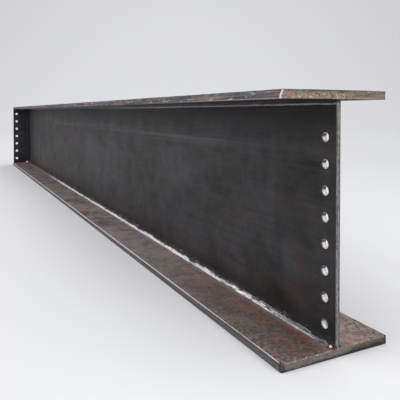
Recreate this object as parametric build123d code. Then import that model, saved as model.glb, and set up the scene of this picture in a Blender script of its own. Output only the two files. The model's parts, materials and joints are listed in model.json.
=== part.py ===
"""Welded H-beam, made up from flat plate.

Three long plates make the section: a bottom flange, a web standing on its middle, and a slightly
narrower top flange. A drilled end plate closes the far end between the flanges, and a row of bolt
holes runs down the web at the near end. Fillet welds join the plates, each bead a piece of its own.

Millimetres. +X runs along the beam towards the near end, +Y across it, +Z up. The origin is in the
middle of the bottom flange's underside. "Front" is the -Y side of the web and "back" the +Y side.
"""

from build123d import *
import os

# The section
beam_length = 4600.0
web_height = 548.0  # clear height between the flanges
web_thickness = 12.0
bottom_flange_width = 300.0
bottom_flange_thickness = 20.0
top_flange_width = 285.0
top_flange_thickness = 20.0
flange_arris = 2.0  # chamfer ground along the cut edges of both flanges
corner_clip = 5.0  # chamfer on the two upright corners at a flange's near end

# The end plate, as wide as the top flange and fitted between the flanges
end_plate_thickness = 16.0
end_hole_pitch = 75.0
end_hole_edge = 30.0  # hole centre to the plate's upright edge
end_hole_margin = 45.0  # least distance from a hole's centre to either flange

# The splice holes through the web at the near end
web_hole_pitch = 60.0
web_hole_edge = 35.0  # hole centre to the web's near end
web_hole_top = 84.0  # top hole's centre to the top flange
web_hole_margin = 40.0  # least distance from a hole's centre to the bottom flange

bolt_hole_diameter = 22.0  # for an M20 bolt

# The welds
bottom_seam_leg = 11.0  # fillets between the web and the bottom flange
top_seam_leg = 8.0  # and between the web and the top flange
bottom_seam_stop = 20.0  # the bottom seams end this far short of the near end
top_seam_stop = 6.0  # and the top seams this far
end_leg = 6.0  # fillets round the end plate
end_stop = 10.0  # a bead ends this far short of the plate's upright edge
crown_share = 0.1  # how far a bead's face bulges, as a share of its leg
end_round_share = 0.6  # rounding of a bead's free end, as a share of its leg

overrun = 5.0  # how far a cutting tool passes the face that it cuts

# Places that several pieces share
near_end = beam_length / 2
far_end = -beam_length / 2
web_face = web_thickness / 2
web_foot = bottom_flange_thickness
web_head = web_foot + web_height
plate_face = far_end + end_plate_thickness
end_plate_width = top_flange_width

# As many holes as the plates have room for
web_hole_count = 1 + int((web_height - web_hole_top - web_hole_margin) / web_hole_pitch)
end_hole_count = 1 + int((web_height - 2 * end_hole_margin) / end_hole_pitch)  # in each column

AHEAD = Vector(1, 0, 0)
TO_FRONT = Vector(0, -1, 0)
UP = Vector(0, 0, 1)


def flange(width, thickness, underside):
    """A flange plate with clipped near corners and a ground arris on every other edge."""
    plate = Box(beam_length, width, thickness, align=(Align.CENTER, Align.CENTER, Align.MIN))
    near_corners = plate.edges().filter_by(Axis.Z).sort_by(Axis.X)[-2:]
    plate = chamfer(near_corners, corner_clip)
    far_corners = plate.edges().filter_by(Axis.Z).sort_by(Axis.X)[:2]
    outline = plate.edges().filter_by(Axis.Z, reverse=True)
    return Pos(0, 0, underside) * chamfer(outline + far_corners, flange_arris)


def web_hole_heights():
    """Heights of the splice holes' centres, from the top one down."""
    top = web_head - web_hole_top
    return [top - web_hole_pitch * i for i in range(web_hole_count)]


def web():
    """The web, from the end plate to the near end, with one column of splice holes."""
    plate = Pos(plate_face, 0, web_foot) * Box(
        near_end - plate_face,
        web_thickness,
        web_height,
        align=(Align.MIN, Align.CENTER, Align.MIN),
    )
    drill = Rot(90, 0, 0) * Cylinder(bolt_hole_diameter / 2, web_thickness + 2 * overrun)
    for height in web_hole_heights():
        plate -= Pos(near_end - web_hole_edge, 0, height) * drill
    return plate


def end_plate():
    """The end plate, with a column of bolt holes near each upright edge."""
    plate = Pos(far_end, 0, web_foot) * Box(
        end_plate_thickness,
        end_plate_width,
        web_height,
        align=(Align.MIN, Align.CENTER, Align.MIN),
    )
    drill = Rot(0, 90, 0) * Cylinder(bolt_hole_diameter / 2, end_plate_thickness + 2 * overrun)
    gauge = end_plate_width - 2 * end_hole_edge
    middle = Pos(far_end + end_plate_thickness / 2, 0, web_foot + web_height / 2)
    # The grid stands in the plate's own plane: its first direction is across, its second is up.
    grid = GridLocations(gauge, end_hole_pitch, 2, end_hole_count)
    for place in grid:
        plate -= middle * Pos(0, place.position.X, place.position.Y) * drill
    return plate


def bead(start, run, first, second, leg):
    """A fillet weld: two legs of one size along first and second, from start and as long as run."""
    crown = leg * crown_share
    bulge = leg / 2 + crown / 2**0.5
    outline = [
        Line((0, 0), (leg, 0)),
        ThreePointArc((leg, 0), (bulge, bulge), (0, leg)),
        Line((0, leg), (0, 0)),
    ]
    along = first.cross(second)
    section = Plane(origin=start, x_dir=first, z_dir=along) * make_face(outline)
    return extrude(section, amount=run.dot(along))


def rounded_end(weld, axis, leg):
    """Rounds the weld's free end: the arc edge furthest along axis."""
    arc = weld.edges().filter_by(GeomType.CIRCLE).sort_by(axis)[-1]
    return fillet(arc, leg * end_round_share)


def seam(height, away, stop, leg):
    """The front seam between the web and the flange at this height. away points off the flange."""
    start = Vector(plate_face, -web_face, height)
    run = AHEAD * (near_end - stop - plate_face)
    return rounded_end(bead(start, run, TO_FRONT, away, leg), Axis.X, leg)


def end_upright():
    """The front bead between the web and the end plate, over the web's whole height."""
    start = Vector(plate_face, -web_face, web_foot)
    return bead(start, UP * web_height, AHEAD, TO_FRONT, end_leg)


def end_level(height, away):
    """The front bead between the end plate and the flange at this height."""
    start = Vector(plate_face, -web_face, height)
    run = TO_FRONT * (end_plate_width / 2 - end_stop - web_face)
    outwards = Axis(Vector(0, 0, 0), TO_FRONT)
    return rounded_end(bead(start, run, AHEAD, away, end_leg), outwards, end_leg)


def front_welds():
    """Every bead in front of the web. Where beads meet, the later one is laid against the earlier."""
    bottom = seam(web_foot, UP, bottom_seam_stop, bottom_seam_leg)
    top = seam(web_head, -UP, top_seam_stop, top_seam_leg)
    upright = end_upright() - bottom - top
    return {
        "weld_bottom": bottom,
        "weld_top": top,
        "weld_end_web": upright,
        "weld_end_bottom": end_level(web_foot, UP) - bottom - upright,
        "weld_end_top": end_level(web_head, -UP) - top - upright,
    }


def pieces():
    """Every piece of the beam by its name."""
    made = {
        "bottom_flange": flange(bottom_flange_width, bottom_flange_thickness, 0),
        "top_flange": flange(top_flange_width, top_flange_thickness, web_head),
        "web_plate": web(),
        "end_plate": end_plate(),
    }
    for name, weld in front_welds().items():
        made[name + "_front"] = weld
        made[name + "_back"] = mirror(weld, about=Plane.XZ)
    return made


def main():
    os.makedirs("parts", exist_ok=True)
    for name, piece in pieces().items():
        export_step(piece, f"parts/{name}.step")
        print(f"{name}: {len(piece.solids())} solid, {piece.volume:.0f} mm3")


if __name__ == "__main__":
    main()
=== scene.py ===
"""Looks of the welded H-beam: worn plates, rippled weld beads, spatter, and the pale studio.

Metres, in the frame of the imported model: +X along the beam to its drilled web end, -Y the front, +Z up.
"""

import bmesh
import bpy
import json
import math
import random
from bpy.props import FloatProperty, FloatVectorProperty, IntProperty, PointerProperty
from mathutils import Matrix, Vector, noise


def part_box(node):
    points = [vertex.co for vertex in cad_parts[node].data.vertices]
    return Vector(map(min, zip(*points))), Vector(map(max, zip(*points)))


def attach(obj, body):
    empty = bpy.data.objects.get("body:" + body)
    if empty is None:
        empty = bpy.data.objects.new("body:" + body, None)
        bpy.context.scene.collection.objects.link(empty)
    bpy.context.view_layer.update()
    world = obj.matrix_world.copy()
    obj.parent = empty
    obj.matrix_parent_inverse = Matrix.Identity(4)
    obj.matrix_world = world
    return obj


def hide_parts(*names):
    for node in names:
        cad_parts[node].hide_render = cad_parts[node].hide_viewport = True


bl_info = {
    "name": "Welded H-beam",
    "version": (1, 0, 0),
    "blender": (4, 5, 0),
    "location": "View3D > Sidebar > Beam",
    "description": "Builds the worn plates, weld beads and studio of a welded H-beam",
    "category": "Object",
}

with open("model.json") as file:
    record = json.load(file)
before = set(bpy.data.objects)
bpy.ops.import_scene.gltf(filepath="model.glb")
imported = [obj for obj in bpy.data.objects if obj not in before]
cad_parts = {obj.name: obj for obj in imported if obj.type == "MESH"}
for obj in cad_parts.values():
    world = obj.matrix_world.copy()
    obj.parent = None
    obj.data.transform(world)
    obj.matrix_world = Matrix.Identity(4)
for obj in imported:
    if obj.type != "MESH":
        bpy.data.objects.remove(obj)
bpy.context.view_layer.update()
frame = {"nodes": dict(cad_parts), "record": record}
MM = 0.001

# Places that the pieces and their finishes share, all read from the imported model
BOTTOM_LOW, BOTTOM_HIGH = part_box("bottom_flange")
TOP_LOW, TOP_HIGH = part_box("top_flange")
WEB_LOW, WEB_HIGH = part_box("web_plate")
PLATE_LOW, PLATE_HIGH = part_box("end_plate")
NEAR_END = BOTTOM_HIGH.x
FAR_END = BOTTOM_LOW.x
LENGTH = NEAR_END - FAR_END
WEB_FACE = WEB_HIGH.y
WEB_FOOT = WEB_LOW.z
WEB_HEAD = WEB_HIGH.z

AHEAD = Vector((1, 0, 0))
ACROSS = Vector((0, 1, 0))
UP = Vector((0, 0, 1))

# The bolt holes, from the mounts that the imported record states
MOUNTS = {mount["name"]: mount for mount in frame["record"]["mounts"]}
OUTER_HOLES = MOUNTS["web_splice_outer"]
INNER_HOLES = MOUNTS["web_splice_inner"]
CORNER_HOLES = MOUNTS["end_plate_corners"]
HOLE_RADIUS = OUTER_HOLES["dims"]["hole_r_mm"] * MM
WEB_HOLE_X = OUTER_HOLES["pos_m"][0]
END_HOLE_Y = CORNER_HOLES["dims"]["spacing_x_mm"] * MM / 2
END_HOLE_GAPS = 6  # gaps between the seven holes of a column

# The pale line below the top flange is a painted highlight along the top seam's lower toe
TOE_LINE = 9.8 * MM  # how far below the top flange a pale line runs along the web
SCRATCH_DROP = 106 * MM  # how far below the top flange the web's scratches pass the middle
SCRATCH_SLOPE = 0.0078  # and how much they sink towards the near end
RUST_SLANT = 0.464  # angle at which the flanges' loose rust lies, in radians
SHARP = math.radians(50)  # edges that turn by more than this look sharp


def colour(name, text, red, green, blue):
    """A colour property, written as it looks on a screen."""
    return FloatVectorProperty(
        name=name, description=text, default=(red, green, blue), subtype="COLOR_GAMMA", min=0, max=1
    )


def length(name, text, millimetres):
    """A length property, written in millimetres."""
    return FloatProperty(name=name, description=text, default=millimetres * MM, unit="LENGTH")


def plain(name, text, value):
    """A property that is a plain number."""
    return FloatProperty(name=name, description=text, default=value)


def angle(name, text, degrees):
    """An angle property, written in degrees."""
    return FloatProperty(name=name, description=text, default=math.radians(degrees), subtype="ANGLE")


def power(name, text, watts):
    """A lamp's power."""
    return FloatProperty(name=name, description=text, default=watts, unit="POWER")


class BeamColours(bpy.types.PropertyGroup):
    """Colours of the beam's steel."""

    mill_scale: colour("Mill scale", "Grey-black skin of the web and end plate", 0.226, 0.220, 0.232)
    scale_blue: colour("Blue scale", "Cooler bands in the mill scale", 0.250, 0.250, 0.285)
    scale_brown: colour("Brown scale", "Thin rust in the mill scale", 0.245, 0.20, 0.175)
    scale_olive: colour("Olive scale", "Greenish patches in the mill scale", 0.205, 0.205, 0.165)
    scale_plum: colour("Plum scale", "Purplish patches in the mill scale", 0.255, 0.215, 0.245)
    # Also painted shade: the upper walls of the bolt holes and the web-side toes of the brushed beads
    heat_black_and_shade: colour("Heat black", "Burnt steel beside the welds", 0.125, 0.125, 0.14)
    # Also painted shade: the band under the top flange, its underside, the top of the web's cut end, the
    # dull beads
    soot_and_shade: colour("Soot", "The blackest steel, in corners under the welds", 0.06, 0.06, 0.068)
    # Also a painted highlight: the web-side toe of the dull beads
    heat_grey: colour("Heat grey", "Blue-grey steel close beside a weld", 0.42, 0.43, 0.46)
    brown: colour("Brown rust", "Main colour of the flanges", 0.50, 0.445, 0.425)
    violet: colour("Violet rust", "Purple-grey patches on the flanges", 0.47, 0.425, 0.43)
    moss: colour("Grey-green", "Greenish grey patches on the flanges", 0.40, 0.405, 0.385)
    umber: colour("Umber", "Darker brown rust near the beam's near end", 0.415, 0.347, 0.328)
    rose: colour("Rose", "Pale pinkish rust beside the seam and behind the web", 0.575, 0.515, 0.50)
    orange: colour("Orange rust", "Fresh rust near the welds", 0.515, 0.35, 0.255)
    dark_rust: colour("Dark rust", "Dark streaks and specks", 0.21, 0.17, 0.15)
    tan: colour("Tan", "Pale rust on the cut ends", 0.60, 0.53, 0.455)
    stone: colour("Stone", "Grey parts of the cut ends", 0.50, 0.475, 0.43)
    steel: colour("Steel", "Light parts of the web's cut end", 0.50, 0.50, 0.49)
    cut_grey: colour("Cut grey", "Flame-cut side faces", 0.40, 0.39, 0.395)
    bare: colour("Bare steel", "Ground and rubbed arrises", 0.90, 0.885, 0.88)
    weld_silver: colour("Weld silver", "Brushed weld metal", 0.93, 0.915, 0.94)
    # Also a painted highlight: the pale line along the web under the top seam
    weld_grey: colour("Weld grey", "Dull weld metal", 0.56, 0.56, 0.58)


class BeamWear(bpy.types.PropertyGroup):
    """Sizes of the beam's fine relief."""

    arris: length("Arris", "Width of the ground corner along the bottom flange's edges", 1.8)
    sharp_arris: length("Sharp arris", "Width of the corner along the top flange's edges", 0.8)
    station: length("Station", "Distance between the cross-sections that carry the wear", 8.0)
    cut_wander: length("Cut wander", "How far a flame-cut edge wanders from straight", 0.5)
    nick: length("Nick", "Depth of the deepest nicks along the arrises", 1.6)
    corner_clip: length("Corner clip", "How far the near corners are cut back", 6.0)
    ripple_pitch: length("Ripple pitch", "Distance between a bead's ripples", 7.0)
    ripple_height: length("Ripple height", "Height of a bead's ripples", 0.5)
    ripple_lag: length("Ripple lag", "How far a ripple's middle lags behind its toes", 5.0)
    ring: length("Ring", "Distance between a bead's cross-sections", 1.75)
    toe_wave: plain("Toe wave", "How much a bead's legs vary, as a share of the leg", 0.18)
    fade: length("Fade", "Length over which a bead grows thinner towards its free end", 260.0)
    sink: length("Sink", "How deep a bead's root lies in the plates", 0.4)
    spatter_size: length("Spatter size", "Radius of the largest drop of spatter", 1.6)
    spatter_count: IntProperty(name="Spatter count", description="Drops of spatter in all", default=460)
    seed: IntProperty(name="Seed", description="Start of every random draw", default=7)


class BeamStage(bpy.types.PropertyGroup):
    """The camera, the lamps and the pale floor."""

    eye: FloatVectorProperty(
        name="Eye", description="The camera's place", default=(3.1396, -0.7630, 0.5402), unit="LENGTH"
    )
    heading: angle("Heading", "Turn of the view from +Y to -X", 63.138)
    tilt: angle("Tilt", "How far the view points down", 1.2)
    lens: plain("Lens", "Focal length on a 36 mm sensor, in mm", 45.267)
    rise: plain("Rise", "Vertical shift of the lens, as a share of the picture", -0.19393)
    floor: colour("Floor", "Seamless paper under and behind the beam", 0.895, 0.897, 0.91)
    ambient: plain("Ambient", "Strength of the even light from all round", 0.669)
    overhead: power("Overhead", "Power of the lamp above the beam", 75.0)
    front: power("Front", "Power of the lamp high in front of the beam", 110.0)
    end: power("End", "Power of the lamp beyond the near end", 75.0)
    rear: power("Rear", "Power of the lamp behind the near end", 6.0)
    backdrop: power("Backdrop", "Power of the lamp on the backdrop", 412.0)


class Field:
    """A number, colour or vector in a material. Python's operators add the nodes that work it out."""

    def __init__(self, finish, socket):
        self.finish = finish
        self.socket = socket

    def __abs__(self):
        return self.finish.maths("ABSOLUTE", self)

    def mix(self, paint, amount):
        """This colour, turned into the other paint as amount goes from 0 to 1."""
        return self.finish.mix(self, paint, amount)

    def shade(self, amount):
        """This colour made lighter or darker: amount is what it is multiplied by."""
        return self.finish.vector_maths("MULTIPLY", self, self.finish.join(amount, amount, amount))

    def sway(self, amount):
        """Noise that goes as far below 0 as above it: from half the amount below to half above."""
        return (self - 0.5) * amount

    def step(self, low, high):
        """0 below low, 1 above high, and smooth between. With low above high it falls instead."""
        inputs = {"Value": self, "From Min": low, "From Max": high}
        return self.finish.add("ShaderNodeMapRange", inputs, interpolation_type="SMOOTHSTEP")


def operator(operation, reflected=False):
    """The method that gives a Field one of Python's operators, or its reflected form."""

    def apply(field, other):
        first, second = (other, field) if reflected else (field, other)
        return field.finish.maths(operation, first, second)

    return apply


OPERATORS = {"add": "ADD", "sub": "SUBTRACT", "mul": "MULTIPLY", "truediv": "DIVIDE"}
for word, operation in OPERATORS.items():
    setattr(Field, f"__{word}__", operator(operation))
    setattr(Field, f"__r{word}__", operator(operation, reflected=True))


def linear(paint):
    """A colour as it looks on a screen, turned into the amounts of light that shaders count in."""
    light = [value / 12.92 if value < 0.04045 else ((value + 0.055) / 1.055) ** 2.4 for value in paint]
    return (*light, 1.0)


def palette():
    """Every colour of the beam, ready for a shader."""
    group = bpy.context.scene.beam_colours
    return {name: linear(getattr(group, name)) for name in BeamColours.__annotations__}


class Finish:
    """One material while it is being made. A paint is a colour's name in the palette, or a mix."""

    def __init__(self, name):
        self.material = bpy.data.materials.new(name)
        self.material.use_nodes = True
        self.nodes = self.material.node_tree.nodes
        self.links = self.material.node_tree.links
        self.nodes.clear()
        self.paints = palette()
        self.place = self.add("ShaderNodeTexCoord", {}, "Object")
        self.x, self.y, self.z = self.split(self.place)
        self.left = NEAR_END - self.x
        self.facing = self.split(self.add("ShaderNodeNewGeometry", {}, "True Normal"))

    def add(self, kind, inputs, output=0, **settings):
        """Adds one node: its settings first, then the values or links of its sockets.

        Gives its output of that name or number, or nothing where output is None.
        """
        node = self.nodes.new(kind)
        for name, value in settings.items():
            setattr(node, name, value)
        for name, value in inputs.items():
            if isinstance(value, Field):
                self.links.new(value.socket, node.inputs[name])
            else:
                node.inputs[name].default_value = value
        return None if output is None else Field(self, node.outputs[output])

    def maths(self, operation, *values):
        return self.add("ShaderNodeMath", dict(enumerate(values)), operation=operation)

    def vector_maths(self, operation, first, second):
        return self.add("ShaderNodeVectorMath", {0: first, 1: second}, operation=operation)

    def split(self, vector):
        node = self.add("ShaderNodeSeparateXYZ", {0: vector}).socket.node
        return [Field(self, socket) for socket in node.outputs]

    def join(self, x, y, z):
        return self.add("ShaderNodeCombineXYZ", {0: x, 1: y, 2: z})

    def lower(self, first, second):
        return self.maths("MINIMUM", first, second)

    def upper(self, first, second):
        return self.maths("MAXIMUM", first, second)

    def grain(self, per_metre, detail, roughness=0.55, warp=0.0, shift=0.0, turn=0.0):
        """Noise from 0 to 1, with its own number of grains a metre along X, Y and Z."""
        spot = self.place
        if turn:
            inputs = {"Vector": spot, "Angle": turn}
            spot = self.add("ShaderNodeVectorRotate", inputs, rotation_type="Z_AXIS")
        spot = self.vector_maths("MULTIPLY", spot, per_metre)
        spot = self.vector_maths("ADD", spot, (shift, shift / 2, -shift))
        return self.noise(spot, detail, roughness, warp)

    def noise(self, spot, detail, roughness, warp=0.0):
        inputs = {"Vector": spot, "Scale": 1, "Detail": detail, "Roughness": roughness}
        inputs["Distortion"] = warp
        return self.add("ShaderNodeTexNoise", inputs)

    def tint(self, paint):
        """What a socket takes for a paint: the colour of that name, or the mix as it is."""
        return self.paints[paint] if isinstance(paint, str) else paint

    def mix(self, first, second, amount):
        """From the first paint to the second as amount goes from 0 to 1."""
        inputs = {0: amount, 6: self.tint(first), 7: self.tint(second)}
        return self.add("ShaderNodeMix", inputs, 2, data_type="RGBA")

    def bump(self, height, distance, strength):
        inputs = {"Height": height, "Distance": distance, "Strength": strength}
        return self.add("ShaderNodeBump", inputs)

    def done(self, paint, roughness, metallic, relief=None, sheen=0.5):
        """The finished material. sheen is the mirror-like part of its surface."""
        inputs = {"Base Color": paint, "Roughness": roughness, "Metallic": metallic}
        inputs["Specular IOR Level"] = sheen
        if relief is not None:
            inputs["Normal"] = relief
        surface = self.add("ShaderNodeBsdfPrincipled", inputs)
        self.add("ShaderNodeOutputMaterial", {"Surface": surface}, None)
        return self.material


def soft_patch(ragged, first, second):
    """A ragged oval patch, from 0 to 1. first and second are distances from its middle, as shares."""
    return (first * first + second * second + ragged.sway(6)).step(1.3, -0.3)


def mill_scale(finish):
    """The dark skin of hot-rolled plate, thinly rusted. Gives its paint, clouds and mottling."""
    clouds = finish.grain((2.2, 3, 3.4), 6, 0.60, warp=0.6, shift=3.1)
    drifts = finish.grain((6.5, 6, 4), 5, 0.64, warp=0.8, shift=23)
    mottle = finish.grain((9, 30, 14), 6, 0.72, warp=0.3, shift=1.7)
    streaks = finish.grain((3, 60, 90), 5, 0.74, shift=61)
    rust = finish.grain((5, 9, 11), 8, 0.80, warp=0.4, shift=8.7)
    olive = finish.grain((4, 8, 8), 8, 0.80, warp=0.4, shift=15.2)
    far = finish.x.step(0, -1.7)
    paint = finish.mix("mill_scale", "scale_blue", clouds.step(0.50, 0.64) * 0.7)
    plum = drifts.step(0.46, 0.58) * (0.7 - finish.x.step(0.6, 1.7) * 0.55)
    paint = paint.mix("scale_plum", plum)
    paint = paint.mix("scale_olive", olive.step(0.52, 0.60) * (0.7 - far * 0.45))
    paint = paint.mix("scale_brown", rust.step(0.51, 0.60) * 0.9)
    tone = 1 + clouds.sway(1.2) + drifts.sway(2.2 + far * 3)
    tone = tone + mottle.sway(2.7 + far * 2.3) + streaks.sway(1.5)
    return paint.shade(tone), clouds, mottle


def hole_distance(finish, across, mount, pitch):
    """Distance to the nearest hole's axis, and height above it. The mount spans the whole column."""
    span = mount["dims"]["spacing_y_mm"] * MM
    rise = finish.z - (mount["pos_m"][2] - span / 2)
    number = finish.upper(finish.maths("ROUND", rise / pitch), 0)
    along = rise - finish.lower(number, round(span / pitch)) * pitch
    return finish.maths("SQRT", across * across + along * along), along


def drilled(finish, paint, distance, along, depth, darkening):
    """Bare walls inside the bolt holes, and a dark ring round each. Gives the paint and the walls.

    They darken by this much above their middle, as painted shade, and at their mouth, from which depth
    counts.
    """
    wall = 1 - distance.step(HOLE_RADIUS + 0.1 * MM, HOLE_RADIUS + 0.5 * MM)
    rim = 1 - distance.step(HOLE_RADIUS + 0.6 * MM, HOLE_RADIUS + 3 * MM)
    # Painted shade: the walls above each hole's middle are darkened
    soot_and_shade = along.step(-1 * MM, 3 * MM) * (1 - along.step(6 * MM, 10 * MM) * 0.5)
    mouth = depth.step(2.4 * MM, 1.4 * MM)
    bore = finish.mix("bare", "heat_black_and_shade", finish.upper(soot_and_shade, mouth * 0.7) * darkening)
    paint = paint.mix("heat_black_and_shade", rim * darkening * 0.7)
    return paint.mix(bore, wall), wall


def scratched(finish, paint):
    """Long faint scratches that run down the web from the far end."""
    line = finish.z - (WEB_HEAD - SCRATCH_DROP) + finish.x * SCRATCH_SLOPE
    strokes = finish.noise(finish.join(finish.x * 1.1, 0, line * 120), 3, 0.5)
    band = 1 - abs(line).step(3 * MM, 30 * MM)
    late = finish.x.step(1.5, 2.1)
    clear = finish.x.step(-1.6, 0.9) * (1 - late) * 0.16 + 0.09 - late * 0.04
    scratch = band * strokes.step(0.42, 0.62) * clear
    return paint.mix("heat_grey", scratch + band * 0.03)


def heat_and_shadow_marked(finish, paint, clouds, mottle):
    """The web by its seams: heat marks, pale flecks below, and painted shadow and a thin pale painted
    highlight above.
    """
    low = finish.z - WEB_FOOT
    high = WEB_HEAD - finish.z
    rusty = low.step(0.16, 0.02) * clouds.step(0.42, 0.62)
    paint = paint.mix("scale_brown", rusty * 0.35)
    ragged = clouds.sway(0.05) + mottle.sway(0.03)
    burnt_low = (1 - (low + ragged).step(0.02, 0.075)) * 0.32
    # Painted shadow under the top flange: dark to about 10 cm below it, nearly black within 16 mm, fading
    # by 34 mm
    painted_shadow_high = (1 - (high + ragged).step(0.012, 0.10)) * 0.85
    black = high.step(34 * MM, 16 * MM) * 0.97
    paint = paint.mix("soot_and_shade", finish.upper(finish.upper(burnt_low, painted_shadow_high), black))

    # Flecks close to the bottom seam, a few of them bright
    strip = finish.grain((40, 1, 90), 6, 0.78, shift=27)
    last = finish.left.step(0.45, 0.15)
    close = 1 - (low + strip.sway(0.05)).step(0.015, 0.024)
    close = close * strip.step(0.42, 0.60) * (0.5 - last * 0.3)
    paint = paint.mix("heat_grey", close)
    spark = strip.step(0.58, 0.64) * (1 - low.step(0.018, 0.026))
    spark = spark * finish.left.step(0.1, 0.25)
    paint = paint.mix("weld_silver", spark * 0.6)

    # A painted highlight: the pale line under the lower toe of the top seam
    width = 2 * MM + (1 - finish.x.step(0.8, NEAR_END)) * 1.5 * MM
    line = 1 - (abs(high - TOE_LINE + strip.sway(0.006)) / width).step(0.6, 1.2)
    line = line * finish.x.step(0.1, 1.3) * strip.step(0.30, 0.44)
    return paint.mix("weld_grey", line * 0.95)


def drawn_cut(finish):
    """The web's cut end: grey, with drag lines from top to bottom. Gives its paint and its relief."""
    drag = finish.grain((1, 520, 9), 5, 0.7, shift=4)
    pits = finish.grain((60, 190, 110), 4, 0.68, shift=6)
    cut = finish.mix("cut_grey", "steel", drag.step(0.42, 0.58))
    cut = cut.mix("moss", finish.z.step(0.30, 0.55) * 0.4)
    cut = cut.shade(0.90 + pits.sway(3.6) + drag.sway(1.4))
    edge = (abs(finish.y) + pits.sway(0.003)).step(WEB_FACE - 2.4 * MM, WEB_FACE - 0.8 * MM)
    cut = cut.mix("heat_black_and_shade", edge * 0.75)
    # Painted shade along the top of the cut end, just under the top flange
    painted_shade_top = (WEB_HEAD - finish.z + pits.sway(0.012)).step(10 * MM, 7 * MM)
    return cut.mix("soot_and_shade", painted_shade_top * 0.85), drag + pits


def web_finish():
    """Mill scale on the web, heat marks beside the seams, a cut grey end and bright holes."""
    finish = Finish("web_mill_scale")
    paint, clouds, mottle = mill_scale(finish)

    # Darker towards both ends, painted shading in place of the web's reflections, and paler in two
    # patches
    tone = 0.63 - finish.x.step(0.9, 2.8) * 0.15 - finish.x.step(0.3, -1.5) * 0.09
    tone = tone - finish.x.step(-1, FAR_END) * 0.24
    long_patch = soft_patch(clouds, (finish.x - 0.44) / 0.42, (finish.z - 0.27) / 0.13)
    short_patch = soft_patch(clouds, (finish.x - 1.47) / 0.17, (finish.z - 0.33) / 0.08)
    pale = finish.upper(long_patch, short_patch)
    paint = paint.mix("scale_blue", pale * 0.4).shade(tone + pale * 0.17)
    paint = heat_and_shadow_marked(finish, scratched(finish, paint), clouds, mottle)

    pitch = INNER_HOLES["dims"]["spacing_y_mm"] * MM
    distance, along = hole_distance(finish, finish.x - WEB_HOLE_X, OUTER_HOLES, pitch)
    paint, wall = drilled(finish, paint, distance, along, WEB_FACE - abs(finish.y), 0.92)
    end = finish.facing[0].step(0.6, 0.8) * (1 - wall)
    cut, cut_relief = drawn_cut(finish)
    paint = paint.mix(cut, end)

    roughness = 0.46 + clouds * 0.20 - wall * 0.10
    height = mottle * 0.7 + clouds * 0.9 + cut_relief * end * 0.8
    return finish.done(paint, roughness, 0.10 + wall * 0.2, finish.bump(height, 0.4 * MM, 0.6), 0.28)


def end_plate_finish():
    """Darker mill scale on the end plate, with two columns of bright holes."""
    finish = Finish("end_plate_scale")
    paint, clouds, mottle = mill_scale(finish)
    speckle = finish.grain((60, 60, 60), 4, 0.8, shift=33)
    paint = paint.mix("scale_blue", 0.5)
    paint = paint.shade(0.74 + speckle.sway(2.6))
    rim = finish.lower(finish.z - PLATE_LOW.z, PLATE_HIGH.z - finish.z)
    paint = paint.mix("soot_and_shade", rim.step(0.10, 0.004) * 0.6)

    pitch = CORNER_HOLES["dims"]["spacing_y_mm"] * MM / END_HOLE_GAPS
    distance, along = hole_distance(finish, abs(finish.y) - END_HOLE_Y, CORNER_HOLES, pitch)
    paint, wall = drilled(finish, paint, distance, along, PLATE_HIGH.x - finish.x, 0.15)
    side = abs(finish.facing[1]).step(0.6, 0.8) * (1 - wall)
    paint = paint.mix("cut_grey", side * 0.2)

    roughness = 0.46 + clouds * 0.2 - wall * 0.15
    height = mottle * 0.5 + clouds
    return finish.done(paint, roughness, 0.1 + wall * 0.2, finish.bump(height, 0.35 * MM, 0.6), 0.35)


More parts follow.
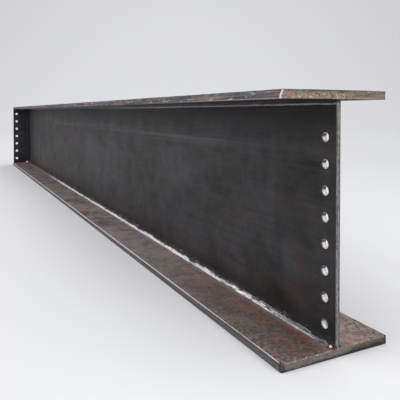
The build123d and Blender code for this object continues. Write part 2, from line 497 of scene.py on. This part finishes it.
class FlangeFinish(Finish):
    """Rusty hot-rolled plate with flame-cut sides: what the finishes of both flanges share."""

    def __init__(self, name, low, high, seam_height):
        """low and high are the flange's own corners, and seam_height the level of its welded face."""
        super().__init__(name)
        self.patches = self.grain((3.4, 6, 6), 8, 0.74, warp=0.7, shift=2)
        self.strokes = self.grain((8, 5, 14), 8, 0.84, warp=0.5, shift=9, turn=RUST_SLANT)
        self.rust = self.grain((10, 18, 16), 8, 0.80, warp=0.4, shift=20)
        self.speck = self.grain((110, 110, 110), 5, 0.76, shift=5)
        self.streak = self.grain((4, 1, 230), 7, 0.80, warp=0.2, shift=31)
        self.mottle = self.grain((1, 170, 210), 3, 0.62, warp=0.4, shift=44)
        self.smudge = self.grain((1, 34, 46), 7, 0.74, warp=0.5, shift=48)

        # Where a point lies, and which way it faces. Most are shares from 0 to 1
        self.near = self.left.step(1.1, 0.1)
        self.last = self.left.step(0.24, 0.04)
        self.behind = (self.y + self.smudge.sway(0.08)).step(0.01, 0.06)
        self.off_seam = abs(self.y) - WEB_FACE
        self.to_side = high.y - abs(self.y)
        self.to_face = self.lower(self.z - low.z, high.z - self.z)
        self.height = (self.z - low.z) / (high.z - low.z)
        self.welded_face = 1 - abs(self.z - seam_height).step(0.5 * MM, 1.5 * MM)
        self.on_side = abs(self.facing[1]).step(0.75, 0.9)
        self.on_end = abs(self.facing[0]).step(0.58, 0.66)
        self.ragged = (self.speck + self.rust - 1) * 3 * MM
        to_end = self.lower(self.left, self.x - FAR_END)
        self.clipped = (self.to_side + to_end + self.ragged).step(11 * MM, 7 * MM)

    def rolled_rust(self):
        """The rolled faces: brown, violet and grey-green, with fresh rust along the seam."""
        cool = self.grain((9, 14, 9), 6, 0.70, warp=0.6, shift=14, turn=RUST_SLANT)
        scuffs = self.grain((90, 24, 60), 5, 0.78, shift=71, turn=RUST_SLANT)
        bloom = self.grain((14, 14, 14), 6, 0.72, warp=0.5, shift=80)
        calm = self.x.step(0.8, 2.1)
        paint = self.mix("brown", "violet", self.patches.step(0.44, 0.58))
        paint = paint.mix("umber", (self.near + self.rust.sway(1.4)).step(0.30, 0.80) * 0.9)
        mossy = cool.step(0.47, 0.60) * (0.8 - calm * 0.35 - self.near * 0.2)
        dusk = soft_patch(self.strokes, (self.x - 2.06) / 0.15, (self.y + 0.085) / 0.05)
        paint = paint.mix("moss", self.upper(mossy, dusk * 0.75))

        # Orange rust along the seam towards the near end, and in loose patches
        seam = 1 - (self.off_seam / (0.035 + self.near * 0.080)).step(0.25, 1)
        seam = seam * self.left.step(1.1, 0.7)
        fresh = (self.rust + seam * (0.085 + self.last * 0.05)).step(0.55, 0.65)
        paint = paint.mix("orange", fresh * (0.6 + self.last * 0.25))
        paint = paint.mix("dark_rust", self.strokes.step(0.52, 0.60) * (0.5 - calm * 0.28))

        # Behind the web it is pinkish and paler, with a dark outer edge; the paler tone is painted light
        back = self.y.step(0.01, 0.03) * self.near
        paint = paint.mix("rose", back * bloom.step(0.46, 0.58) * 0.7)
        back_edge = (self.y + bloom.sway(0.1)).step(0.07, 0.13) * self.near
        paint = paint.mix("dark_rust", back_edge * self.speck.step(0.50, 0.44) * 0.7)

        middle = self.x.step(-0.5, 0.5) * (1 - self.x.step(1.9, 2.2))
        # back raises the tone of the flange behind the web: painted light
        tone = 1.06 + middle * 0.24 - self.near * 0.16 - self.last * 0.16 + back * 0.66
        tone = tone + self.speck.sway(1.5 + calm) + scuffs.sway(1.6 - calm * 0.6)
        tone = tone - cool.sway(1.6 - calm * 1.2) - self.strokes.sway(2.2 - calm * 1.2)
        return self.crumbled(paint.shade(tone + self.patches.sway(0.8)))

    def crumbled(self, paint):
        """Pale crumbs of rust along the near end, and along the sides close to it."""
        edge = self.left.step(0.022, 0.004)
        hem = self.to_side.step(0.045, 0.015) * self.left.step(0.6, 0.3)
        outer = (self.to_side + self.left * 0.5).step(0.075, 0.02)
        outer = self.upper(outer, hem * 0.9)
        crumbs = (self.speck + edge * 0.02 + outer * 0.05).step(0.56, 0.64)
        crumbs = crumbs * self.upper(edge * 0.7, outer)
        return paint.mix(self.mix("tan", "rose", hem), crumbs * 0.8)

    def cut_side(self, rusty, level, contrast):
        """The flame-cut sides, streaked along the beam. rusty is the share of their rust that shows."""
        rust = (self.patches + self.streak.sway(0.9)).step(0.42, 0.58) * rusty
        tone = self.streak.sway(4.2) + self.speck.sway(1.6)
        return self.mix("cut_grey", "brown", rust).shade(level + tone * contrast)

    def rough_end(self):
        """Mottled pale rust on a cut end."""
        rough = self.mix("tan", "orange", self.smudge.step(0.49, 0.57) * 0.55)
        rough = rough.mix("dark_rust", self.mottle.step(0.48, 0.38) * 0.9)
        return rough.mix("bare", self.mottle.step(0.56, 0.68) * 0.6)

    def rubbed(self, paint, polish):
        """The finished material, with its upper arrises rubbed bright by this much, from 0 to 1."""
        corner = self.upper(self.to_side, self.to_face) + self.ragged
        width = 1.7 * MM + (1 - self.near) * 1.8 * MM
        bright = (1 - corner.step(width - 1 * MM, width)) * self.height.step(0.55, 0.9) * polish
        paint = paint.mix("bare", bright * (1 - self.clipped))
        roughness = 0.70 - bright * 0.30 - self.on_side * 0.08 + self.strokes.sway(0.4)
        cuts = self.streak * self.on_side + self.mottle * self.on_end * (1 - self.behind)
        relief = self.bump(self.speck + self.strokes * 0.8 + cuts * 2.6, 0.7 * MM, 0.8)
        return self.done(paint, roughness, 0.10 + bright * 0.5, relief, 0.4)


def bottom_flange_finish():
    """The bottom flange: paler beside its seam, dark at its end's foot, and bright on its arrises."""
    flange = FlangeFinish("bottom_flange_rust", BOTTOM_LOW, BOTTOM_HIGH, WEB_FOOT)
    paint = flange.rolled_rust()
    beside = (flange.off_seam + flange.rust.sway(0.05)).step(28 * MM, 14 * MM)
    pale = 0.30 + flange.x.step(FAR_END + 1, FAR_END + 1.9) * 0.45 - flange.near * 0.35
    paint = paint.mix("rose", beside * flange.welded_face * pale)

    # Darker in the corner where the seam stops short of the near end
    darkening = flange.off_seam.step(14 * MM, 7 * MM)
    darkening = darkening * flange.left.step(24 * MM, 14 * MM)
    darkening = darkening * flange.left.step(3 * MM, 5 * MM)
    paint = paint.mix("soot_and_shade", darkening * 0.85)
    paint = paint.mix(flange.cut_side(0.1, 0.62, 0.5), flange.on_side)

    # The near end, with a rough pale lip
    end = flange.mix("moss", "umber", flange.smudge.step(0.42, 0.54) * 0.7)
    end = end.shade(1.05 + flange.mottle.sway(1.8) - flange.behind * 0.45)
    lip = (flange.height + flange.smudge.sway(0.9)).step(0.82, 0.95)
    end = end.mix(flange.rough_end(), lip * 0.7)
    foot = (flange.height + flange.smudge.sway(1.2) - flange.behind * 0.2).step(0.10, 0.42)
    end = flange.mix("soot_and_shade", end, foot * 0.85 + 0.15)
    paint = paint.mix(end, flange.on_end)
    paint = paint.mix("soot_and_shade", flange.clipped * (flange.speck + 0.1))
    return flange.rubbed(paint, 0.90)


def top_flange_finish():
    """The top flange: painted shade on its underside, with flecked sides and pale rust on its near end.
    """
    flange = FlangeFinish("top_flange_rust", TOP_LOW, TOP_HIGH, WEB_HEAD)
    # Its underside by the seam: greyer towards the far end, and painted shade, darkest near the web and
    # near end
    fresh = flange.x.step(0.3, 1.5)
    paint = flange.rolled_rust().mix("weld_grey", flange.welded_face * (1 - fresh) * 0.45)
    inner = (flange.off_seam + flange.rust.sway(0.06)).step(0.125, 0.07)
    painted_underside_shade = flange.welded_face * (inner * 0.75 + 0.15) * (0.25 + fresh * 0.75)
    paint = paint.mix("soot_and_shade", painted_underside_shade)

    # Sides with pale flecks of lifted scale, dark along their top
    dull = (1 - flange.near) * 0.16 + flange.x.step(2, 1.6) * 0.07
    fleck = flange.grain((26, 1, 150), 5, 0.78, shift=37)
    side = flange.cut_side(1, 0.74 - dull, 1).mix("bare", fleck.step(0.57, 0.64) * 0.6)
    lip = (flange.height + flange.streak.sway(0.5)).step(0.86, 0.97)
    side = side.mix("soot_and_shade", lip * 0.5)
    foot = (flange.height + flange.streak.sway(0.3)).step(0.16, 0.06) * flange.near
    paint = paint.mix(side.mix("bare", foot * 0.25), flange.on_side)

    # The near end: mottled in front, smoother and greyer behind, and dark along its top
    rough = flange.rough_end().mix("rose", flange.y.step(-0.04, -0.10) * 0.35)
    spot = soft_patch(flange.smudge, (flange.y + 0.133) / 0.010, (flange.height - 0.5) / 0.30)
    rough = rough.mix("orange", spot * 0.7)
    rough = rough.shade(flange.smudge.step(0.40, 0.62) * 0.5 + 0.64 + spot * 0.5)
    drawn = flange.grain((1, 16, 260), 6, 0.76, shift=52)
    smooth = flange.mix("stone", "tan", drawn.step(0.46, 0.58) * 0.5)
    smooth = smooth.shade(0.68 + drawn.sway(3))
    end = rough.mix(smooth, flange.behind)
    uneven = flange.smudge.sway(1.4) + flange.mottle.sway(1.6)
    dark = (flange.height + uneven).step(0.74, 0.92)
    end = end.mix("dark_rust", dark * (0.85 - flange.behind * 0.10))

    # Its rust wraps round the corner, up to a pale line that leans
    wrap = 17 * MM - flange.height * flange.height * 12 * MM + flange.rust.sway(0.02)
    past = flange.left - wrap
    paint = paint.mix(end, flange.on_side * past.step(0, -2 * MM))
    line = abs(past).step(4.5 * MM, 2.5 * MM) * flange.on_side
    paint = paint.mix("bare", line * (0.5 + flange.speck * 0.7))
    return flange.rubbed(paint.mix(end, flange.on_end), 0.06)


def weld_finish(name, seam, toe_share, brushed):
    """Weld metal, brushed bright or dull.

    seam is the height of the corner that the bead lies in, and toe_share the share of its face, from
    the web's toe on, that is darker than the rest on a brushed bead, as painted shade, and paler on a
    dull one, as a painted highlight.
    """
    finish = Finish(name)
    blots = finish.grain((26, 150, 150), 5, 0.70, warp=0.3, shift=3)
    runs = finish.grain((9, 20, 20), 4, 0.62, shift=12)
    glitter = finish.grain((300, 300, 300), 3, 0.8, shift=2)
    early = finish.x.step(FAR_END + 1.9, FAR_END + 1.1)
    late = finish.left.step(0.80, 0.20)
    last = finish.left.step(0.26, 0.14)

    # way goes from 0 at the web's toe to 1 at the flange's
    from_web = abs(finish.y) - WEB_FACE
    from_flange = abs(finish.z - seam)
    way = from_web / (from_web + from_flange + 0.2 * MM) + blots.sway(0.9) + runs.sway(1)
    toe = way.step(toe_share + 0.09, toe_share - 0.09)
    if brushed:
        paint = finish.mix("weld_silver", "weld_grey", late * 0.2)
        paint = paint.mix("umber", early * 0.92)
        # Painted shade: the web-side toe, and near the end a gap across the crown, are darkened
        paint = paint.mix("heat_black_and_shade", toe * (0.92 - early * 0.3))
        gap = way.step(0.16, 0.28) * way.step(0.86, 0.72) * last
        paint = paint.mix("heat_black_and_shade", gap * 0.75)
        line = way.step(-0.02, 0.06) * way.step(0.28, 0.18)
        line = line * blots.step(0.42, 0.54) * late * (0.35 + last * 0.4)
        paint = paint.mix("weld_silver", line)
        foot = (way + last * 0.1).step(0.80, 1)
        paint = paint.mix("rose", foot * (0.5 + late * 0.3 - early * 0.4))
    else:
        # A painted highlight along the web-side toe, on a bead painted dark as painted shade
        pale = 0.7 - finish.x.step(0.3, 1.5) * 0.45
        pale = pale - finish.x.step(FAR_END + 0.04, FAR_END + 0.02) * 0.4
        paint = finish.mix("soot_and_shade", "heat_grey", toe * pale)
    dark = (blots + runs * 0.8).step(0.84, 0.74)
    paint = paint.mix("heat_black_and_shade", dark * (0.40 + late * 0.30))
    tone = 1 + glitter.sway(2) + blots.sway(2 + late * 2) - late * 0.04 - early * 0.25
    relief = finish.bump(blots * 1.2 + glitter * 0.3, 0.6 * MM, 0.9)
    return finish.done(paint.shade(tone), 0.42 + blots.sway(0.5), 0.25 + toe * 0.2, relief)


def drop_finish(name, dull, bright, share_bright):
    """Frozen drops of weld metal, of which about this share is bright."""
    finish = Finish(name)
    drops = finish.grain((60, 60, 60), 2, shift=6)
    paint = finish.mix(dull, bright, drops.step(0.65 - share_bright, 0.85 - share_bright))
    relief = finish.bump(finish.grain((400, 400, 400), 2, shift=9), 0.3 * MM, 0.5)
    return finish.done(paint, 0.45, 0.4, relief)


def stage_finish():
    """Seamless pale paper."""
    return Finish("stage_paper").done(linear(bpy.context.scene.beam_stage.floor), 0.9, 0)


def put_in_scene(name, data):
    """Makes a mesh, lamp or camera an object of the scene."""
    thing = bpy.data.objects.new(name, data)
    bpy.context.scene.collection.objects.link(thing)
    return thing


def smooth_piece(name, shape, material):
    """Turns a finished bmesh into an object with smooth faces."""
    mesh = bpy.data.meshes.new(name)
    shape.to_mesh(mesh)
    shape.free()
    mesh.shade_smooth()
    mesh.materials.append(material)
    return put_in_scene(name, mesh)


def settle(name, shape, material, stands_for):
    """Makes a piece that rides on the beam, in the place of the nodes that it stands for."""
    piece = smooth_piece(name, shape, material)
    piece.data.set_sharp_from_angle(angle=SHARP)
    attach(piece, "root")
    if stands_for:
        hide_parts(*stands_for)


def edges_along(shape, axis, at_least):
    """The edges that run along an axis and are at least this long."""
    found = []
    for edge in shape.edges:
        run = edge.verts[1].co - edge.verts[0].co
        if run.length > at_least and abs(run.dot(axis)) > 0.99 * run.length:
            found.append(edge)
    return found


def divide(shape, axis, at_least, cuts):
    """Cuts every long edge along an axis into equal steps, and the faces between them with it."""
    edges = edges_along(shape, axis, at_least)
    bmesh.ops.subdivide_edges(shape, edges=edges, cuts=cuts, use_grid_fill=True)


def plate_grid(low, high, arris, station):
    """A flange plate with rounded arrises, cut into a grid that is fine enough to carry its wear."""
    shape = bmesh.new()
    bmesh.ops.create_cube(shape, size=1)
    bmesh.ops.scale(shape, vec=high - low, verts=shape.verts)
    bmesh.ops.translate(shape, vec=(low + high) / 2, verts=shape.verts)
    bmesh.ops.bevel(
        shape, geom=shape.edges[:], offset=arris, segments=2, profile=0.5, affect="EDGES", material=-1
    )
    divide(shape, UP, 5 * arris, 4)
    divide(shape, ACROSS, 5 * arris, 24)
    divide(shape, AHEAD, LENGTH / 2, round((high.x - low.x) / station))
    return shape


def worn_plate(low, high, wear, arris, roughness, seed):
    """A flange plate with clipped near corners, whose cut edges wander and whose arrises are nicked."""
    shape = plate_grid(low, high, arris, wear.station * (1))
    middle = (low + high) / 2
    reach = (high - low) / 2
    offset = Vector((seed * 3.7, seed * 1.3, seed * 5.9))  # so that no two plates wear alike
    rim = 1.5 * arris  # how close to a face its own vertices lie
    for vertex in shape.verts:
        spot = vertex.co.copy()
        inward = [reach[i] - abs(spot[i] - middle[i]) for i in range(3)]

        # The sides wander, the ends are rough, and nicks are deepest along the upper arrises
        if inward[1] < rim:
            bend = noise.noise(Vector((spot.x * 2.3, 0, 0)) + offset)
            ridge = noise.noise(Vector((spot.x * 34, spot.z * 90, 0)) + offset)
            push = wear.cut_wander * (bend + 0.5 * ridge * roughness)
            vertex.co.y += math.copysign(push, spot.y)
        if inward[0] < rim:
            ridge = noise.noise(Vector((spot.y * 45, spot.z * 120, 3)) + offset)
            vertex.co.x += math.copysign(wear.cut_wander * 0.6 * ridge * roughness, spot.x)
        if sorted(inward)[1] < rim:
            bite = noise.noise(spot * 26 + offset) + 0.45 * noise.noise(spot * 90 + offset)
            depth = max(0, bite - 0.12) * wear.nick * roughness
            lift = math.copysign(depth, spot.z - middle.z)
            vertex.co.z -= lift * (0.8 if spot.z > middle.z else 0.3)

        # The near corners are cut back, the front one more so towards its top
        if spot.x > middle.x:
            rise = (spot.z - low.z) / (high.z - low.z)
            lean = 0.4 + 0.6 * rise * roughness if spot.y < 0 else 0.5
            over = wear.corner_clip * lean - inward[0] - inward[1]
            if over > 0:
                vertex.co.x -= over / 2
                vertex.co.y -= math.copysign(over / 2, spot.y)
    return shape


BEAD_SIDES = 14  # corners of a bead's cross-section
CROWN_POINTS = 11  # of which this many lie on its crown, from the first toe to the second


def bead_corner(step, one, other, bulges):
    """Corner number step of a bead's cross-section, as distances along its two legs."""
    if step < CROWN_POINTS:
        way = step / (CROWN_POINTS - 1)
        return one * (1 - way) + bulges[step], other * way + bulges[step]
    root = (step - CROWN_POINTS + 1) / (BEAD_SIDES - CROWN_POINTS + 1)
    if root < 0.5:
        return 0, other * (1 - 2 * root)
    return one * (2 * root - 1), 0


def wander(spot):
    """Noise in three sizes, from about -1 to 1."""
    return noise.noise(spot) + 0.6 * noise.noise(spot * 2.9) + 0.4 * noise.noise(spot * 7.7)


def bead_ring(travel, span, leg, wear, seed):
    """The cross-section of a bead at this distance from its start."""
    drift = Vector((travel * 22, seed, 0))
    swell = wander(drift)
    slide = wander(drift * 0.7 + Vector((0, 9, 0)))
    stray = 0.8 * noise.noise(drift * 0.8)
    left = span - travel
    taper = 0.9 * leg
    close = math.sqrt(max(0.02, 1 - (1 - left / taper) ** 2)) if left < taper else 1
    late = 1 - min(1, left / wear.fade)
    one = leg * (1 + wear.toe_wave * slide) * close
    other = leg * (1 + wear.toe_wave * swell) * (1 - 0.4 * late) * close
    bulges = []
    for step in range(CROWN_POINTS):
        way = step / (CROWN_POINTS - 1)
        arc = 4 * way * (1 - way)
        phase = (travel + wear.ripple_lag * arc) / wear.ripple_pitch + stray
        ripple = wear.ripple_height * (0.5 + 0.5 * math.cos(2 * math.pi * phase)) * arc**0.5
        grit = 0.3 * MM * noise.noise(Vector((travel * 420, way * 5, seed))) * arc
        bulges.append((0.12 * leg * (1 + 0.6 * swell) * arc + ripple + grit) * close / math.sqrt(2))
    return [bead_corner(step, one, other, bulges) for step in range(BEAD_SIDES)]


def weld_bead(node, run, first, second, wear, seed):
    """A rippled bead in the place of a plain weld, laid along run, with legs along first and second."""
    low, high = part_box(node)
    away = run + first + second
    corner = Vector([low[i] if away[i] > 0 else high[i] for i in range(3)])
    corner -= (first + second) * wear.sink
    span = abs((high - low).dot(run))
    leg = abs((high - low).dot(first)) + wear.sink
    rings = round(span / (wear.ring * 1))

    shape = bmesh.new()
    bmesh.ops.create_cone(shape, cap_ends=True, segments=BEAD_SIDES, radius1=1, radius2=1, depth=1)
    divide(shape, UP, 0.5, rings)
    turn = 2 * math.pi / BEAD_SIDES
    sections = {}
    for vertex in shape.verts:
        travel = round((vertex.co.z + 0.5) * span, 6)
        if travel not in sections:
            sections[travel] = bead_ring(travel, span, leg, wear, seed)
        step = round(math.atan2(vertex.co.y, vertex.co.x) / turn) % BEAD_SIDES
        along_first, along_second = sections[travel][step]
        vertex.co = corner + run * travel + first * along_first + second * along_second
    bmesh.ops.recalc_face_normals(shape, faces=shape.faces)
    return shape


def weld_runs():
    """Each weld node with the direction it was laid in and the directions of its two legs."""
    runs = {}
    for side, out in (("front", -ACROSS), ("back", ACROSS)):
        runs[f"weld_bottom_{side}"] = (AHEAD, out, UP)
        runs[f"weld_top_{side}"] = (AHEAD, out, -UP)
        runs[f"weld_end_web_{side}"] = (UP, AHEAD, out)
        runs[f"weld_end_bottom_{side}"] = (out, AHEAD, UP)
        runs[f"weld_end_top_{side}"] = (out, AHEAD, -UP)
    return runs


class BEAM_OT_flanges(bpy.types.Operator):
    """Build both flange plates with their worn edges"""

    bl_idname = "beam.flanges"
    bl_label = "Flanges"

    def execute(self, context):
        wear = context.scene.beam_wear
        bottom = worn_plate(BOTTOM_LOW, BOTTOM_HIGH, wear, wear.arris, 0.6, wear.seed)
        top = worn_plate(TOP_LOW, TOP_HIGH, wear, wear.sharp_arris, 1.6, wear.seed + 1)
        settle("worn_bottom_flange", bottom, bottom_flange_finish(), ["bottom_flange"])
        settle("worn_top_flange", top, top_flange_finish(), ["top_flange"])
        return {"FINISHED"}


class BEAM_OT_plates(bpy.types.Operator):
    """Give the web and the end plate their mill scale"""

    bl_idname = "beam.plates"
    bl_label = "Web and end plate"

    def execute(self, context):
        for node, skin in (("web_plate", web_finish()), ("end_plate", end_plate_finish())):
            frame["nodes"][node].data.materials.clear()
            frame["nodes"][node].data.materials.append(skin)
        return {"FINISHED"}


class BEAM_OT_welds(bpy.types.Operator):
    """Lay a rippled bead in the place of every weld"""

    bl_idname = "beam.welds"
    bl_label = "Weld beads"

    def execute(self, context):
        wear = context.scene.beam_wear
        brushed = weld_finish("weld_brushed", WEB_FOOT, 0.31, brushed=True)
        dull = weld_finish("weld_dull", WEB_HEAD, 0.40, brushed=False)
        for number, (node, (run, first, second)) in enumerate(weld_runs().items()):
            shape = weld_bead(node, run, first, second, wear, wear.seed + 10 * number)
            skin = brushed if "bottom" in node else dull
            settle(node.replace("weld", "bead"), shape, skin, [node])
        return {"FINISHED"}


class BEAM_OT_spatter(bpy.types.Operator):
    """Scatter drops of weld spatter beside the bottom seams"""

    bl_idname = "beam.spatter"
    bl_label = "Spatter"

    def execute(self, context):
        self.drops(context.scene.beam_wear)
        self.craters()
        return {"FINISHED"}

    def drops(self, wear):
        """Small drops on the flange and the web, most of them near the seam and the near end."""
        first, run = 10 * MM, LENGTH - 40 * MM  # back from the near end
        nearest, spread = 14 * MM, 110 * MM  # out from the corner of the seam
        draw = random.Random(wear.seed)
        round_drop = bmesh.new()
        bmesh.ops.create_uvsphere(round_drop, u_segments=7, v_segments=5, radius=1)
        drop = bpy.data.meshes.new("drop")
        round_drop.to_mesh(drop)
        round_drop.free()
        shape = bmesh.new()
        for _ in range(wear.spatter_count):
            radius = wear.spatter_size * (0.3 + 0.7 * draw.random() ** 3)
            x = NEAR_END - first - run * draw.random() ** 1.6
            side = draw.choice((-1, 1))
            reach = nearest + min(spread, draw.expovariate(60))
            spot = Vector((x, side * WEB_FACE, WEB_FOOT + reach))
            on_flange = draw.random() < 0.6
            if on_flange:
                spot = Vector((x, side * (WEB_FACE + reach), WEB_FOOT))
            place = Matrix.LocRotScale(spot, None, Vector((radius, radius, 0.7 * radius)))
            drop.transform(place)
            shape.from_mesh(drop)
            drop.transform(place.inverted())
        skin = drop_finish("spatter_steel", "heat_black_and_shade", "weld_grey", 0.2)
        settle("spatter", shape, skin, [])
        bpy.data.meshes.remove(drop)

    def craters(self):
        """A crater drop where each bottom seam stops, and a lump where it starts."""
        drop = (NEAR_END - 12 * MM, 4 * MM)
        lump = (PLATE_HIGH.x + 14 * MM, 14 * MM)
        lumps = bmesh.new()
        for x, radius in (drop, lump):
            for side in (-1, 1):
                made = bmesh.ops.create_icosphere(lumps, subdivisions=3, radius=radius)["verts"]
                for vertex in made:
                    vertex.co *= 1 + 0.25 * noise.noise(vertex.co / radius + Vector((x, side, 0)))
                spot = Vector((x, side * (WEB_FACE + 0.5 * radius), WEB_FOOT + 0.3 * radius))
                bmesh.ops.translate(lumps, vec=spot, verts=made)
        skin = drop_finish("crater_steel", "weld_grey", "weld_silver", 0.5)
        settle("crater_drops", lumps, skin, [])


class BEAM_OT_stage(bpy.types.Operator):
    """Set up the seamless floor, the lamps and the camera"""

    bl_idname = "beam.stage"
    bl_label = "Stage"

    def execute(self, context):
        stage = context.scene.beam_stage
        context.scene.view_settings.view_transform = "Standard"
        self.paper(stage)
        self.light(context, stage)
        self.camera(context, stage)
        return {"FINISHED"}

    def paper(self, stage):
        """A floor that curves up into a backdrop, square to the view."""
        width, depth = 80, 18  # of the flat floor
        apron = 22  # added in front of it
        sweep = 9  # radius of the curve behind it
        wall = 10  # height of the backdrop above the curve
        shape = bmesh.new()
        bmesh.ops.create_grid(shape, x_segments=1, y_segments=1, size=0.5)
        bmesh.ops.scale(shape, vec=(width, depth, 1), verts=shape.verts)
        front = [vertex for vertex in shape.verts if vertex.co.y < 0]
        bmesh.ops.translate(shape, vec=(0, -apron, 0), verts=front)
        back = [edge for edge in shape.edges if all(vertex.co.y > 0 for vertex in edge.verts)]
        curve = bmesh.ops.spin(
            shape, geom=back, cent=(0, depth / 2, sweep), axis=(1, 0, 0), angle=math.pi / 2, steps=48
        )
        top = [part for part in curve["geom_last"] if isinstance(part, bmesh.types.BMEdge)]
        risen = bmesh.ops.extrude_edge_only(shape, edges=top)["geom"]
        head = [part for part in risen if isinstance(part, bmesh.types.BMVert)]
        bmesh.ops.translate(shape, vec=wall * UP, verts=head)
        bmesh.ops.transform(shape, matrix=Matrix.Rotation(stage.heading, 4, "Z"), verts=shape.verts)
        paper = smooth_piece("paper", shape, stage_finish())

    def lamp(self, name, watts, place, target, size_x, size_y):
        """A soft rectangular lamp that faces a target."""
        data = bpy.data.lights.new(name, "AREA")
        data.shape = "RECTANGLE"
        data.energy = watts
        data.size = size_x
        data.size_y = size_y
        lamp = put_in_scene(name, data)
        lamp.location = place
        lamp.rotation_euler = (Vector(target) - Vector(place)).to_track_quat("-Z", "Y").to_euler()

    def light(self, context, stage):
        """Even white light from all round, and five lamps."""
        world = bpy.data.worlds.new("studio")
        context.scene.world = world
        world.use_nodes = True
        background = world.node_tree.nodes["Background"]
        background.inputs["Color"].default_value = (1, 1, 1, 1)
        background.inputs["Strength"].default_value = stage.ambient
        ahead = Vector((-math.sin(stage.heading), math.cos(stage.heading), 0))
        self.lamp("overhead", stage.overhead, (0.4, -0.3, 5), (0.4, -0.3, 0), 6, 5)
        self.lamp("front", stage.front, (1, -5, 4), (0.6, 0, 0.2), 4, 4)
        self.lamp("end", stage.end, (6, 0.8, 2.5), (NEAR_END, 0, 0.4), 3, 3)
        self.lamp("rear", stage.rear, (3, 1.3, 1.6), (2.8, 0.7, 0), 1, 1)
        self.lamp("backdrop", stage.backdrop, ahead * 5.5 + 9 * UP, ahead * 13 + 3 * UP, 14, 3)

    def camera(self, context, stage):
        """The photo's view, which points slightly down through a shifted lens."""
        data = bpy.data.cameras.new("view")
        data.sensor_width = 36
        data.lens = stage.lens
        data.shift_y = stage.rise
        camera = put_in_scene("view", data)
        camera.location = stage.eye
        camera.rotation_euler = (math.pi / 2 - stage.tilt, 0, stage.heading)
        context.scene.camera = camera


STEPS = (BEAM_OT_flanges, BEAM_OT_plates, BEAM_OT_welds, BEAM_OT_spatter, BEAM_OT_stage)


class BEAM_PT_steps(bpy.types.Panel):
    """Lists the steps that build the beam"""

    bl_idname = "BEAM_PT_steps"
    bl_label = "Welded H-beam"
    bl_space_type = "VIEW_3D"
    bl_region_type = "UI"
    bl_category = "Beam"

    def draw(self, context):
        for step in STEPS:
            self.layout.operator(step.bl_idname)


GROUPS = {"beam_colours": BeamColours, "beam_wear": BeamWear, "beam_stage": BeamStage}
CLASSES = (*GROUPS.values(), *STEPS, BEAM_PT_steps)


def register():
    for kind in CLASSES:
        bpy.utils.register_class(kind)
    for name, group in GROUPS.items():
        setattr(bpy.types.Scene, name, PointerProperty(type=group))


def unregister():
    for name in GROUPS:
        delattr(bpy.types.Scene, name)
    for kind in reversed(CLASSES):
        bpy.utils.unregister_class(kind)


def main():
    register()
    bpy.ops.beam.flanges()
    bpy.ops.beam.plates()
    bpy.ops.beam.welds()
    bpy.ops.beam.spatter()
    bpy.ops.beam.stage()


if __name__ == "__main__":
    main()
